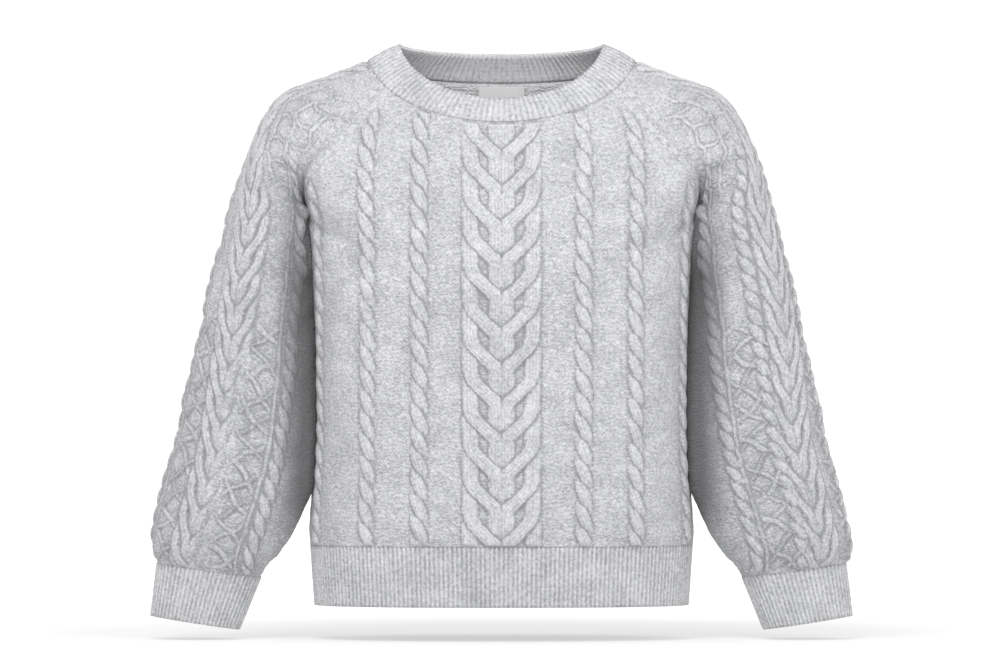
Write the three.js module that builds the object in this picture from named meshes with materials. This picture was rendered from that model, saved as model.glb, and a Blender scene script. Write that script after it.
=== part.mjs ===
import * as THREE from 'three';

// Cable knit sweater with raglan sleeves, hollow and filled out as when it is worn. Millimetres, +Z up,
// the front towards -Y and the wearer's left towards +X. The origin is the middle of the neck, level
// with the tops of the shoulders.

// Cloth: the plain wall, the cables and ribs raised on its outer side, and the gap at each seam
const WALL = 2.4;
const BAND_WALL = 3;
const CABLE_RISE = 2.6;
const CABLE_FOOT = 0.2;
const RIB_RISE = 1.3;
const RIB_PITCH = 5.9;
const INNER_RIBS = 8;
const SEAM = 0.32;

// Neck: the seam where the neckband joins the body, and the band's free top edge
const NECK_Y = -5;
const NECK_SEAM = { half: 133, front: 92, back: 80, z: 2, frontDrop: 64, backDrop: 21 };
const NECK_EDGE = { half: 101.5, front: 77, back: 71, z: 18, frontDrop: 56, backDrop: 7.5 };
const NECK_SOFTNESS = 0.12;
const NECK_BEVEL = 1.4;
const BAND_BULGE = 2.5;
const BAND_ROWS = 2;
const RISE_FRONT = THREE.MathUtils.degToRad(24);
const RISE_SIDE = THREE.MathUtils.degToRad(63);
const RISE_BACK = THREE.MathUtils.degToRad(20);
const FRONT_RAGLAN = THREE.MathUtils.degToRad(60.7);
const BACK_RAGLAN = THREE.MathUtils.degToRad(120);

// Rows of the knitting: the first rows run from raglan seam to raglan seam, down to the underarm
const RAGLAN_ROWS = 12;
const PANEL_ROWS = 36;
const PANEL_ROW = 11.7;
const SLEEVE_ROWS = 39;
const SLEEVE_ROW = 15;
const INNER_STEP = 3;
const NECK_FADE_ROWS = 6;

// Hem: where the panels end and the rib's top and bottom rings, by their half width and half depth
const HEM_TOP = -483;
const HEM_BOTTOM = -543;
const HEM_TOP_RING = { x: 190.5, y: 110.5 };
const HEM_BOTTOM_RING = { x: 186.5, y: 107 };

// Sections of the body as powers of a superellipse: round at the neck, boxier from the underarm down
const ROUND = 2;
const BOXY = 2.4;

// Side line of the body, from the underarm to the bottom of the panels
const SIDE_LINE = table('at x y', [
  [-150, 195.5, 2],
  [-166, 192.5, 1],
  [-200, 190.5, 0],
  [-250, 188, 0],
  [-300, 186.5, 0],
  [-350, 186, 0],
  [-400, 187.5, 0],
  [-440, 190.5, 0],
  [-470, 192.5, 0],
  [-483, 191, 0],
]);

// Middle lines of the front and the back, as depths from the side line
const MIDDLE_LINES = table('at front back', [
  [-19, 92, 75],
  [-62, 97, 99],
  [-100, 107, 109],
  [-140, 114, 113],
  [-190, 118, 113],
  [-240, 116, 109],
  [-300, 111, 105],
  [-350, 109, 104],
  [-400, 109, 106],
  [-440, 111, 109],
  [-470, 113, 112],
  [-483, 111, 111],
]);

// Sections of the sleeve, a row of the knitting each: its outer line, its front and back seam, the
// middle and half of its depth, and the angle that it opens to each side of the outer line
const SLEEVE = table('at outX outZ frontX frontZ backX backZ y depth open', [
  [0, 133, 2, 116, -29, 115, -8, -5, 48, 60],
  [3, 182, -15, 150, -61, 150, -45, -2, 70, 82],
  [5.4, 219, -32, 176, -87, 176, -74, 0, 80, 100],
  [7.5, 239, -57, 190, -103, 190, -95, 1, 79, 113],
  [9.5, 254, -90, 197, -118, 197, -115, 2, 74, 131],
  [11, 263, -116, 197.5, -137, 197.5, -136, 2, 70, 156],
  [12, 268, -132, 195.5, -150, 195.5, -150, 2, 68, 180],
  [13, 272, -145, 195, -164, 195, -164, 2, 67, 180],
  [15, 279, -172, 192.5, -192, 192.5, -192, 1, 65, 180],
  [18.5, 293, -225, 189.3, -250, 189.3, -250, -1, 60, 180],
  [22, 303, -275, 187.8, -303, 187.8, -303, -4, 56, 180],
  [25.7, 315, -331, 187.6, -362, 187.6, -362, -8, 53, 180],
  [29, 325, -378, 189.5, -408, 189.5, -408, -12, 52, 180],
  [31.5, 336, -413, 193, -437, 193, -437, -15, 52, 180],
  [33.2, 342, -436, 201, -458, 201, -458, -17, 52, 180],
  [34.8, 346, -456, 210, -476, 210, -476, -18, 51, 180],
  [36.3, 349, -474, 222, -492, 222, -492, -19, 49, 180],
  [37.7, 348, -489, 233, -504, 233, -504, -20, 43, 180],
  [39, 344, -501, 241, -515, 241, -515, -20, 34, 180],
]);

// Cuff: its top and bottom sections, in the same columns
const CUFF = table('at outX outZ frontX frontZ y depth', [
  [0, 344, -501.4, 241, -515.4, -20, 33.5],
  [1, 350, -553.5, 262.5, -567, -24, 29],
]);

// Cables. The wide cable has two arms that meet in a V on the middle line, and each rope has two strands
const ARM_SLOPE = 0.95;
const BODY_CABLE = { arm: 19, strand: 34, foot: 43, rowsPerV: 3, firstV: 2, calm: 72 };
const SLEEVE_CABLE = { arm: 10, strand: 17, foot: 23, rowsPerV: 2, firstV: 1, calm: 45 };
const ROPE_HALF = 9.5;
const STRAND_HALF = 3.5;
const BODY_ROPES = [82, 137, 207];
const SLEEVE_ROPES = [64];
const ROPE_LOW = 0.4;
const STRAND_LOW = 0.7;
const SHIFT_TAPER_ROWS = 4.5;
const CUT_MARGIN = 6;
const SEAM_BLEND = 12;
const LEAST_COLUMN = 1.1;
const SLEEVE_LINE_TURN = { right: 0.36, left: 0.26 };
const BODY_SIDE_COLUMNS = 3;
const SLEEVE_SIDE_COLUMNS = 5;

// Label: blank, sewn inside the back under the neckband
const LABEL = { width: 47, height: 26, thickness: 1, drop: 3, columns: 5, rows: 3 };
const LABEL_CLEARANCE = 1.3;

const GREY = new THREE.Color(0.66, 0.67, 0.68);
const LABEL_WHITE = new THREE.Color(0.8, 0.8, 0.79);
const ROW_SAMPLES = 120;
const STEP = 0.01;
const UP = new THREE.Vector3(0, 0, 1);

// A table of sizes: its column names, then a row of numbers for each place
function table(names, rows) {
  const columns = names.split(' ');
  return rows.map((row) => Object.fromEntries(columns.map((name, i) => [name, row[i]])));
}

// The smooth value of one column of a table at a place between its rows, with no overshoot
function read(sizes, column, place) {
  const last = sizes.length - 1;
  let i = 0;
  while (i < last - 1 && (sizes[i + 1].at - place) * Math.sign(sizes[1].at - sizes[0].at) < 0) {
    i += 1;
  }
  const secant = (k) => (sizes[k + 1][column] - sizes[k][column]) / (sizes[k + 1].at - sizes[k].at);
  const slope = (k) => {
    if (k === 0 || k === last) {
      return secant(k === 0 ? 0 : last - 1);
    }
    const before = secant(k - 1);
    const after = secant(k);
    return before * after <= 0 ? 0 : (2 * before * after) / (before + after);
  };
  const span = sizes[i + 1].at - sizes[i].at;
  const s = THREE.MathUtils.clamp((place - sizes[i].at) / span, 0, 1);
  const s2 = s * s;
  const s3 = s2 * s;
  return (
    (2 * s3 - 3 * s2 + 1) * sizes[i][column] +
    (s3 - 2 * s2 + s) * span * slope(i) +
    (3 * s2 - 2 * s3) * sizes[i + 1][column] +
    (s3 - s2) * span * slope(i + 1)
  );
}

// A neck ring, by angle from the middle of the front
function neckRing(ring, angle) {
  const across = Math.cos(angle);
  const soft = Math.hypot(across, NECK_SOFTNESS) - NECK_SOFTNESS;
  const full = Math.hypot(1, NECK_SOFTNESS) - NECK_SOFTNESS;
  const depth = across > 0 ? ring.front : ring.back;
  const drop = across > 0 ? ring.frontDrop : ring.backDrop;
  return new THREE.Vector3(
    ring.half * Math.sin(angle),
    NECK_Y - depth * across,
    ring.z - (drop * soft) / full,
  );
}

// The direction through the cloth at the neck seam, shared by the band and the pieces under it
function neckNormal(angle) {
  const side = Math.sin(angle) ** 2;
  const rise = side * RISE_SIDE + (1 - side) * (Math.cos(angle) > 0 ? RISE_FRONT : RISE_BACK);
  return new THREE.Vector3(
    Math.sin(angle) * Math.cos(rise),
    -Math.cos(angle) * Math.cos(rise),
    Math.sin(rise),
  );
}

// A point of the left sleeve: t runs from the front seam at -1 over the outer line to the back seam at 1
function sleeveSection(row, t) {
  const open = THREE.MathUtils.degToRad(read(SLEEVE, 'open', row));
  const turn = open * t;
  const out = (Math.cos(turn) - Math.cos(open)) / (1 - Math.cos(open));
  const back = (1 + t) / 2;
  const seamX = THREE.MathUtils.lerp(read(SLEEVE, 'frontX', row), read(SLEEVE, 'backX', row), back);
  const seamZ = THREE.MathUtils.lerp(read(SLEEVE, 'frontZ', row), read(SLEEVE, 'backZ', row), back);
  return new THREE.Vector3(
    THREE.MathUtils.lerp(seamX, read(SLEEVE, 'outX', row), out),
    read(SLEEVE, 'y', row) + read(SLEEVE, 'depth', row) * Math.sin(turn),
    THREE.MathUtils.lerp(seamZ, read(SLEEVE, 'outZ', row), out),
  );
}

function sleevePoint(row, t) {
  const point = sleeveSection(row, t);
  const fade = Math.max(0, 1 - row / NECK_FADE_ROWS) ** 2;
  if (fade > 0) {
    const angle = THREE.MathUtils.lerp(FRONT_RAGLAN, BACK_RAGLAN, (1 + t) / 2);
    const start = neckRing(NECK_SEAM, angle).sub(sleeveSection(0, t));
    point.addScaledVector(start, fade);
  }
  return point;
}

// Half a section of the body is part of a rounded box: its side lies at 1 and its middle at 0
function sectionDepth(side, reach, power) {
  const bow = (s) => Math.max(0, 1 - Math.abs(s) ** power) ** (1 / power);
  const edge = bow(reach);
  return (bow(side * reach) - edge) / (1 - edge);
}

// A point of the front or back: t runs from one side seam or raglan seam at -1 to the other at 1
function panelPoint(which, row, t) {
  const front = which === 'front';
  const upper = Math.min(1, row / RAGLAN_ROWS);
  const lower = Math.max(0, row - RAGLAN_ROWS) / (PANEL_ROWS - RAGLAN_ROWS);
  const edge = sleevePoint(Math.min(row, RAGLAN_ROWS), front ? -1 : 1);
  if (lower > 0) {
    const z = THREE.MathUtils.lerp(SIDE_LINE[0].at, HEM_TOP, lower);
    edge.set(read(SIDE_LINE, 'x', z), read(SIDE_LINE, 'y', z), z);
  }
  const neck = neckRing(NECK_SEAM, front ? 0 : Math.PI);
  const middleZ = THREE.MathUtils.lerp(neck.z, HEM_TOP, row / PANEL_ROWS);
  const tableY = (front ? -1 : 1) * read(MIDDLE_LINES, which, middleZ);
  const middleY = THREE.MathUtils.lerp(neck.y, tableY, upper);
  const raglan = Math.sin(front ? FRONT_RAGLAN : BACK_RAGLAN);
  const reach = THREE.MathUtils.lerp(raglan, 1, upper);
  const power = THREE.MathUtils.lerp(ROUND, BOXY, upper);
  const angle = t * Math.asin(Math.min(1, reach));
  const side = Math.sin(angle) / reach;
  const depth = sectionDepth(side, reach, power);
  return new THREE.Vector3(
    (front ? 1 : -1) * edge.x * side,
    THREE.MathUtils.lerp(edge.y, middleY, depth),
    THREE.MathUtils.lerp(edge.z, middleZ, depth),
  );
}

// A surface of rows and t with distances measured along each row from the line at middle(row)
function measured(point, middle) {
  const rows = new Map();
  const measure = (row) => {
    const key = row.toFixed(4);
    if (!rows.has(key)) {
      const middleT = middle(row);
      const samples = [];
      for (let i = 0; i <= ROW_SAMPLES; i += 1) {
        const t = -1 + (2 * i) / ROW_SAMPLES;
        const p = point(row, t);
        const before = samples[i - 1];
        samples.push({ t, p, length: before ? before.length + p.distanceTo(before.p) : 0 });
      }
      const zero = lookUp(samples, 't', 'length', middleT);
      samples.forEach((sample) => {
        sample.length -= zero;
      });
      rows.set(key, samples);
    }
    return rows.get(key);
  };
  return {
    start: (row) => measure(row)[0].length,
    end: (row) => measure(row)[ROW_SAMPLES].length,
    at: (row, w) => point(row, lookUp(measure(row), 'length', 't', w)),
  };
}

function lookUp(samples, from, to, value) {
  let i = 0;
  while (i < samples.length - 2 && samples[i + 1][from] < value) {
    i += 1;
  }
  const s = (value - samples[i][from]) / (samples[i + 1][from] - samples[i][from]);
  return THREE.MathUtils.lerp(samples[i][to], samples[i + 1][to], THREE.MathUtils.clamp(s, 0, 1));
}

// The outward direction of a surface, from small steps down the rows and along them
function surfaceNormal(surface, row, w, lastRow) {
  const up = surface.at(Math.max(0, row - STEP), w);
  const down = surface.at(Math.min(lastRow, row + STEP), w);
  const left = surface.at(row, Math.max(surface.start(row), w - STEP));
  const right = surface.at(row, Math.min(surface.end(row), w + STEP));
  return down.sub(up).cross(right.sub(left)).normalize();
}

// The columns of one half of a piece, from its middle line to its edge
function halfColumns(cable, ropes, sideColumns) {
  const columns = [
    { w: cable.arm, form: 'arm' },
    { w: cable.strand, form: 'strand' },
    { w: cable.foot, form: 'plain' },
  ];
  ropes.forEach((centre) => {
    columns.push({ w: centre - ROPE_HALF, form: 'plain' });
    columns.push({ w: centre - STRAND_HALF, form: 'even' });
    columns.push({ w: centre + STRAND_HALF, form: 'odd' });
    columns.push({ w: centre + ROPE_HALF, form: 'plain' });
  });
  for (let i = 1; i <= sideColumns; i += 1) {
    columns.push({ spread: i / sideColumns, form: 'plain' });
  }
  return columns;
}

// Both halves, left to right as seen from outside, with the strands of each rope kept in their order
function allColumns(cable, ropes, sideColumns) {
  const half = halfColumns(cable, ropes, sideColumns);
  const swap = { even: 'odd', odd: 'even' };
  const left = half.map((column) => ({ ...column, side: -1, form: swap[column.form] ?? column.form }));
  const right = half.map((column) => ({ ...column, side: 1 }));
  return [...left.reverse(), { w: 0, side: 1, form: 'arm' }, ...right];
}

// Where a column lies on a row of the given half length. Columns past the seam are cut, and crowd at it
function columnPlace(columns, index, limits) {
  const { side } = columns[index];
  const length = side < 0 ? -limits.start : limits.end;
  const toEdge = side < 0 ? index : columns.length - 1 - index;
  const placed = (column, left) => Math.min(column.w, length - left * LEAST_COLUMN);
  if (columns[index].spread === undefined) {
    return side * placed(columns[index], toEdge);
  }
  const spreads = columns.filter((column) => column.spread !== undefined).length / 2;
  const lastFixed = side < 0 ? columns[spreads] : columns[columns.length - 1 - spreads];
  const from = placed(lastFixed, spreads);
  return side * THREE.MathUtils.lerp(from, length, columns[index].spread);
}

// How far rows climb beside the middle line, so that they follow the arms of the wide cable
function rowClimb(cable, w) {
  const out = Math.abs(w);
  const top = ARM_SLOPE * cable.strand;
  if (out < cable.strand) {
    return ARM_SLOPE * out;
  }
  return top * THREE.MathUtils.clamp((cable.calm - out) / (cable.calm - cable.strand), 0, 1);
}

function relief(form, row, cable) {
  const crest = row % cable.rowsPerV === cable.firstV;
  const even = row % 2 === 0;
  const shares = {
    plain: 0,
    arm: crest ? 1 : CABLE_FOOT / CABLE_RISE,
    strand: crest ? 1 : STRAND_LOW,
    even: even ? 1 : ROPE_LOW,
    odd: even ? ROPE_LOW : 1,
  };
  return CABLE_RISE * shares[form];
}

// A closed wall from an outer grid and a plain inner grid that keeps only some of its rows and columns.
// From row tubeFrom on, its first and last columns are one.
function wallGeometry({ rows, columns, outer, inner, innerRows, innerColumns, tubeFrom = Infinity }) {
  const positions = [];
  const triangles = [];
  const addGrid = (rowList, columnList, point) => {
    const grid = new Map();
    rowList.forEach((r) => {
      columnList.forEach((c) => {
        if (r >= tubeFrom && c === columns - 1) {
          grid.set(`${r},${c}`, grid.get(`${r},0`));
          return;
        }
        grid.set(`${r},${c}`, positions.length / 3);
        positions.push(...point(r, c).toArray());
      });
    });
    return (r, c) => grid.get(`${r},${c}`);
  };
  const range = (count) => Array.from({ length: count }, (_, i) => i);
  const outerRows = range(rows);
  const outerColumns = range(columns);
  const outerAt = addGrid(outerRows, outerColumns, outer);
  const innerAt = addGrid(innerRows, innerColumns, inner);

  const cover = (rowList, columnList, at, inside) => {
    for (let i = 0; i < rowList.length - 1; i += 1) {
      for (let j = 0; j < columnList.length - 1; j += 1) {
        const a = at(rowList[i], columnList[j]);
        const b = at(rowList[i + 1], columnList[j]);
        const c = at(rowList[i + 1], columnList[j + 1]);
        const d = at(rowList[i], columnList[j + 1]);
        triangles.push(...(inside ? [a, c, b, a, d, c] : [a, b, c, a, c, d]));
      }
    }
  };
  cover(outerRows, outerColumns, outerAt, false);
  cover(innerRows, innerColumns, innerAt, true);

  // The strip between an outer and an inner edge. Neighbours on a seam get the same triangles
  const rim = (a, b, reversed) => {
    const middle = (edge, i) => (i < edge.length - 1 ? edge[i].key + edge[i + 1].key : Infinity);
    let i = 0;
    let j = 0;
    while (i < a.length - 1 || j < b.length - 1) {
      const corners = [a[i].index];
      if (middle(a, i) <= middle(b, j)) {
        i += 1;
        corners.push(a[i].index, b[j].index);
      } else {
        j += 1;
        corners.push(b[j].index, b[j - 1].index);
      }
      triangles.push(...(reversed ? corners.reverse() : corners));
    }
  };
  const alongRow = (list, at, r) => list.map((c) => ({ key: c, index: at(r, c) }));
  const alongColumn = (list, at, c) =>
    list.filter((r) => r <= tubeFrom).map((r) => ({ key: r, index: at(r, c) }));
  if (tubeFrom > 0) {
    const lastColumn = columns - 1;
    rim(alongColumn(outerRows, outerAt, lastColumn), alongColumn(innerRows, innerAt, lastColumn), false);
    rim(alongColumn(outerRows, outerAt, 0), alongColumn(innerRows, innerAt, 0), true);
  }
  rim(alongRow(outerColumns, outerAt, 0), alongRow(innerColumns, innerAt, 0), false);
  const lastRow = rows - 1;
  rim(alongRow(outerColumns, outerAt, lastRow), alongRow(innerColumns, innerAt, lastRow), true);

  const geometry = new THREE.BufferGeometry();
  geometry.setAttribute('position', new THREE.Float32BufferAttribute(positions, 3));
  geometry.setIndex(triangles);
  geometry.computeVertexNormals();
  return geometry;
}

// Every so manieth number from 0 to last, with last itself and any others that are named
function everyFew(last, step, ...others) {
  const picked = new Set([0, last, ...others]);
  for (let i = 0; i <= last; i += step) {
    picked.add(i);
  }
  return [...picked].sort((a, b) => a - b);
}

const mirrored = (point) => new THREE.Vector3(-point.x, point.y, point.z);

// The four main pieces as measured surfaces. Columns run left to right as seen from outside
const surfaces = {
  front: measured((row, t) => panelPoint('front', row, t), () => 0),
  back: measured((row, t) => panelPoint('back', row, t), () => 0),
  left_sleeve: measured(sleevePoint, (row) => sleeveLine('left', row)),
  right_sleeve: measured((row, t) => mirrored(sleevePoint(row, -t)), (row) => -sleeveLine('right', row)),
};

// The middle line of a sleeve's wide cable turns from the top of the shoulder towards the front
function sleeveLine(side, row) {
  return -SLEEVE_LINE_TURN[side] * THREE.MathUtils.smoothstep(row, 0, RAGLAN_ROWS + 2);
}

// A raglan seam on the left: its point, the direction through the cloth and the one towards the sleeve
function raglanFrame(which, row) {
  const front = which === 'front';
  const t = front ? -1 : 1;
  const before = sleevePoint(Math.max(0, row - STEP), t);
  const after = sleevePoint(Math.min(RAGLAN_ROWS, row + STEP), t);
  const panel = surfaces[which];
  const sleeve = surfaces.left_sleeve;
  const panelW = front ? panel.end(row) : panel.start(row);
  const sleeveW = front ? sleeve.start(row) : sleeve.end(row);
  const down = Math.max(0, (2 * row) / RAGLAN_ROWS - 1);
  const through = surfaceNormal(panel, row, panelW, PANEL_ROWS)
    .add(surfaceNormal(sleeve, row, sleeveW, SLEEVE_ROWS))
    .add(new THREE.Vector3(0, 0, -down));
  const along = after.sub(before).normalize();
  if (row === RAGLAN_ROWS) {
    along.set(0, front ? 1 : -1, 0);
  }
  through.addScaledVector(along, -through.dot(along)).normalize();
  const toSleeve = new THREE.Vector3().crossVectors(along, through).multiplyScalar(front ? -1 : 1);
  return { point: sleevePoint(row, t), through, toSleeve: toSleeve.normalize() };
}

// One of the four main pieces: where each column of each row lies, and the direction through the cloth
function knitPiece(name, { cable, ropes, sideColumns, lastRow, step }) {
  const surface = surfaces[name];
  const sleeve = name.endsWith('sleeve');
  const columns = allColumns(cable, ropes, sideColumns);
  const lastColumn = columns.length - 1;

  const edgeFrame = (row, column) => {
    const toRight = column !== 0;
    let which = name;
    let flip = false;
    if (name === 'left_sleeve') {
      which = toRight ? 'back' : 'front';
    } else if (name === 'right_sleeve') {
      which = toRight ? 'front' : 'back';
      flip = true;
    } else {
      flip = (name === 'front') !== toRight;
    }
    const frame = raglanFrame(which, row);
    const turned = flip ? mirrored : (v) => v;
    return {
      base: turned(frame.point).addScaledVector(turned(frame.toSleeve), (sleeve ? SEAM : -SEAM) / 2),
      through: turned(frame.through),
    };
  };

  const frameAt = (row, column) => {
    const limits = { start: surface.start(row), end: surface.end(row) };
    const level = columnPlace(columns, column, limits);
    const fromEnds = Math.min(row, lastRow - row) / SHIFT_TAPER_ROWS;
    const shift = (rowClimb(cable, level) / step) * Math.min(1, fromEnds);
    const at = row - shift;
    const shifted = { start: surface.start(at), end: surface.end(at) };
    const w = THREE.MathUtils.clamp(level, shifted.start, shifted.end);
    const base = surface.at(at, w);
    const through = surfaceNormal(surface, at, w, lastRow);
    const onEdge = column === 0 || column === lastColumn;
    if (row <= RAGLAN_ROWS) {
      const toEnd = shifted.end - w < w - shifted.start;
      const edge = edgeFrame(row, toEnd ? lastColumn : 0);
      const near = 1 - Math.min(1, (toEnd ? shifted.end - w : w - shifted.start) / SEAM_BLEND);
      through.lerp(edge.through, onEdge ? 1 : near * near).normalize();
      base.copy(onEdge ? edge.base : base);
    } else if (onEdge && !sleeve) {
      through.set(Math.sign(base.x), 0, 0);
    }
    if (onEdge && !sleeve && row >= RAGLAN_ROWS) {
      base.y += (name === 'front' ? -SEAM : SEAM) / 2;
    }
    if (row === 0) {
      through.copy(neckNormal(neckAngle(base)));
      base.add(surface.at(STEP, w).sub(surface.at(0, w)).normalize().multiplyScalar(SEAM / 2));
    }
    if (row === lastRow) {
      through.projectOnPlane(sleeve ? cuffAxis(name) : UP).normalize();
    }
    return { base, through, limits };
  };

  const frames = new Map();
  const frameOf = (row, column) => {
    const key = `${row},${column}`;
    if (!frames.has(key)) {
      frames.set(key, frameAt(row, column));
    }
    return frames.get(key);
  };

  const rise = (row, column) => {
    const { form, w, side } = columns[column];
    const { limits } = frameOf(row, column);
    const room = (side < 0 ? -limits.start : limits.end) - (w ?? 0);
    return relief(form, row, cable) * THREE.MathUtils.clamp(room / CUT_MARGIN - 1, 0, 1);
  };

  const outer = (row, column) => {
    const { base, through } = frameOf(row, column);
    return base.clone().addScaledVector(through, rise(row, column));
  };
  const inner = (row, column) => {
    const { base, through } = frameOf(row, column);
    const point = base.clone().addScaledVector(through, -WALL);
    if (row === 0) {
      point.addScaledVector(frameOf(1, column).base.clone().sub(base).normalize(), NECK_BEVEL);
    }
    return point;
  };
  const everyColumn = columns.map((_, index) => index);
  const plainColumns = everyColumn.filter((i) => columns[i].form === 'plain' || columns[i].w === 0);
  const geometry = wallGeometry({
    rows: lastRow + 1,
    columns: columns.length,
    outer,
    inner,
    innerRows: everyFew(lastRow, INNER_STEP, RAGLAN_ROWS - 2, RAGLAN_ROWS - 1, RAGLAN_ROWS),
    innerColumns: plainColumns,
    tubeFrom: sleeve ? RAGLAN_ROWS : Infinity,
  });
  return { geometry, neckEdge: everyColumn.map((column) => frameOf(0, column).base) };
}

// The direction along a sleeve at its cuff
function cuffAxis(name) {
  const end = SLEEVE[SLEEVE.length - 1];
  const mirror = name === 'right_sleeve' ? -1 : 1;
  return new THREE.Vector3((end.frontZ - end.outZ) * mirror, 0, end.outX - end.frontX).normalize();
}

function neckAngle(point) {
  const ahead = NECK_Y - point.y;
  return Math.atan2(point.x / NECK_SEAM.half, ahead / (ahead > 0 ? NECK_SEAM.front : NECK_SEAM.back));
}

// A ribbed strip or ring: a plain form with every other column raised along the ribs
function ribGeometry({ point, ribs, rows, wall, ring, through, seamAxis }) {
  const columns = 2 * ribs + 1;
  const frame = (row, column) => {
    const s = column / (columns - 1);
    const q = row / rows;
    const base = point(q, s);
    const given = through?.(q, s);
    if (given) {
      return { base, normal: given };
    }
    const nextS = point(q, Math.min(1, s + STEP)).sub(point(q, Math.max(0, s - STEP)));
    const nextQ = point(Math.min(1, q + STEP), s).sub(point(Math.max(0, q - STEP), s));
    const normal = nextQ.cross(nextS);
    if (row === 0 && seamAxis) {
      normal.projectOnPlane(seamAxis);
    }
    return { base, normal: normal.normalize() };
  };
  const outer = (row, column) => {
    const { base, normal } = frame(row, column);
    return base.addScaledVector(normal, column % 2 === 1 ? RIB_RISE : 0);
  };
  const inner = (row, column) => {
    const { base, normal } = frame(row, column);
    return base.addScaledVector(normal, -wall);
  };
  return wallGeometry({
    rows: rows + 1,
    columns,
    outer,
    inner,
    innerRows: everyFew(rows, 1),
    innerColumns: everyFew(columns - 1, INNER_RIBS),
    tubeFrom: ring ? 0 : Infinity,
  });
}

// The neckband stands on the upper edges of the pieces under it and leans in to its free edge
function neckbandGeometry(edges) {
  const corners = edges.flat().map((p) => ({ angle: neckAngle(p), x: p.x, y: p.y, z: p.z }));
  corners.sort((p, q) => p.angle - q.angle);
  const first = corners[0];
  const last = corners[corners.length - 1];
  corners.unshift({ ...last, angle: last.angle - 2 * Math.PI });
  corners.push({ ...first, angle: first.angle + 2 * Math.PI });
  const onEdge = (axis, angle) => lookUp(corners, 'angle', axis, angle);
  const seamPoint = (angle) =>
    new THREE.Vector3(onEdge('x', angle), onEdge('y', angle), onEdge('z', angle) + SEAM);
  const point = (q, s) => {
    const angle = (2 * s - 1) * Math.PI;
    const base = seamPoint(angle);
    const top = neckRing(NECK_EDGE, angle);
    const out = neckNormal(angle).multiplyScalar(BAND_BULGE * Math.sin(Math.PI * q));
    return top.lerp(base, q).add(out);
  };
  const through = (q, s) => (q === 1 ? neckNormal((2 * s - 1) * Math.PI) : null);
  const seamLength = ringLength((s) => point(1, s));
  const ribs = Math.round(seamLength / RIB_PITCH);
  return ribGeometry({ point, ribs, rows: BAND_ROWS, wall: BAND_WALL, ring: true, through });
}

// Half of the hem rib: its top lies under the panel and its bottom draws in a little
function hemGeometry(which) {
  const front = which === 'front';
  const top = { ...HEM_TOP_RING, z: HEM_TOP - SEAM };
  const bottom = { ...HEM_BOTTOM_RING, z: HEM_BOTTOM };
  const section = (ring, t) => {
    const side = Math.sin((t * Math.PI) / 2);
    return new THREE.Vector3(
      (front ? 1 : -1) * ring.x * side,
      (front ? -1 : 1) * (ring.y * sectionDepth(side, 1, BOXY) + SEAM / 2),
      ring.z,
    );
  };
  const even = evenly((s) => section(top, 2 * s - 1));
  const point = (q, s) => section(top, 2 * even(s) - 1).lerp(section(bottom, 2 * even(s) - 1), q);
  const through = (q, s) => {
    const onSide = s === 0 || s === 1;
    return onSide ? new THREE.Vector3(Math.sign(point(q, s).x), 0, 0) : null;
  };
  const ribs = Math.round(ringLength((s) => point(0, s)) / RIB_PITCH);
  return ribGeometry({ point, ribs, rows: 1, wall: WALL, ring: false, through, seamAxis: UP });
}

function cuffGeometry(mirror) {
  const section = (q, s) => {
    const turn = (2 * s - 1) * Math.PI;
    const out = (1 + Math.cos(turn)) / 2;
    const point = new THREE.Vector3(
      THREE.MathUtils.lerp(read(CUFF, 'frontX', q), read(CUFF, 'outX', q), out),
      read(CUFF, 'y', q) + read(CUFF, 'depth', q) * Math.sin(turn) * (mirror ? -1 : 1),
      THREE.MathUtils.lerp(read(CUFF, 'frontZ', q), read(CUFF, 'outZ', q), out),
    );
    return mirror ? mirrored(point) : point;
  };
  const even = evenly((s) => section(0, s));
  const point = (q, s) => section(q, even(s));
  const ribs = Math.round(ringLength((s) => point(0, s)) / RIB_PITCH);
  const seamAxis = cuffAxis(mirror ? 'right_sleeve' : 'left_sleeve');
  return ribGeometry({ point, ribs, rows: 1, wall: WALL, ring: true, seamAxis });
}

function ringLength(point) {
  let length = 0;
  for (let i = 0; i < ROW_SAMPLES; i += 1) {
    length += point(i / ROW_SAMPLES).distanceTo(point((i + 1) / ROW_SAMPLES));
  }
  return length;
}

// A change of s that spaces a curve's points evenly along it
function evenly(curve) {
  const samples = [{ s: 0, length: 0 }];
  for (let i = 1; i <= ROW_SAMPLES; i += 1) {
    const step = curve(i / ROW_SAMPLES).distanceTo(curve((i - 1) / ROW_SAMPLES));
    samples.push({ s: i / ROW_SAMPLES, length: samples[i - 1].length + step });
  }
  const total = samples[ROW_SAMPLES].length;
  return (s) => lookUp(samples, 'length', 's', s * total);
}

// The label hangs on the inner side of the back, made from the back's own points
function labelGeometry() {
  const rowStep = (neckRing(NECK_SEAM, Math.PI).z - HEM_TOP) / PANEL_ROWS;
  const { columns, rows } = LABEL;
  const inside = (row, column, depth) => {
    const w = LABEL.width * (column / (columns - 1) - 0.5);
    const at = (LABEL.drop + (LABEL.height * row) / (rows - 1)) / rowStep;
    const normal = surfaceNormal(surfaces.back, at, w, PANEL_ROWS);
    return surfaces.back.at(at, w).addScaledVector(normal, -depth);
  };
  const face = WALL + LABEL_CLEARANCE;
  return wallGeometry({
    rows,
    columns,
    outer: (row, column) => inside(row, column, face),
    inner: (row, column) => inside(row, column, face + LABEL.thickness),
    innerRows: everyFew(rows - 1, 1),
    innerColumns: everyFew(columns - 1, 1),
  });
}

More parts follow.
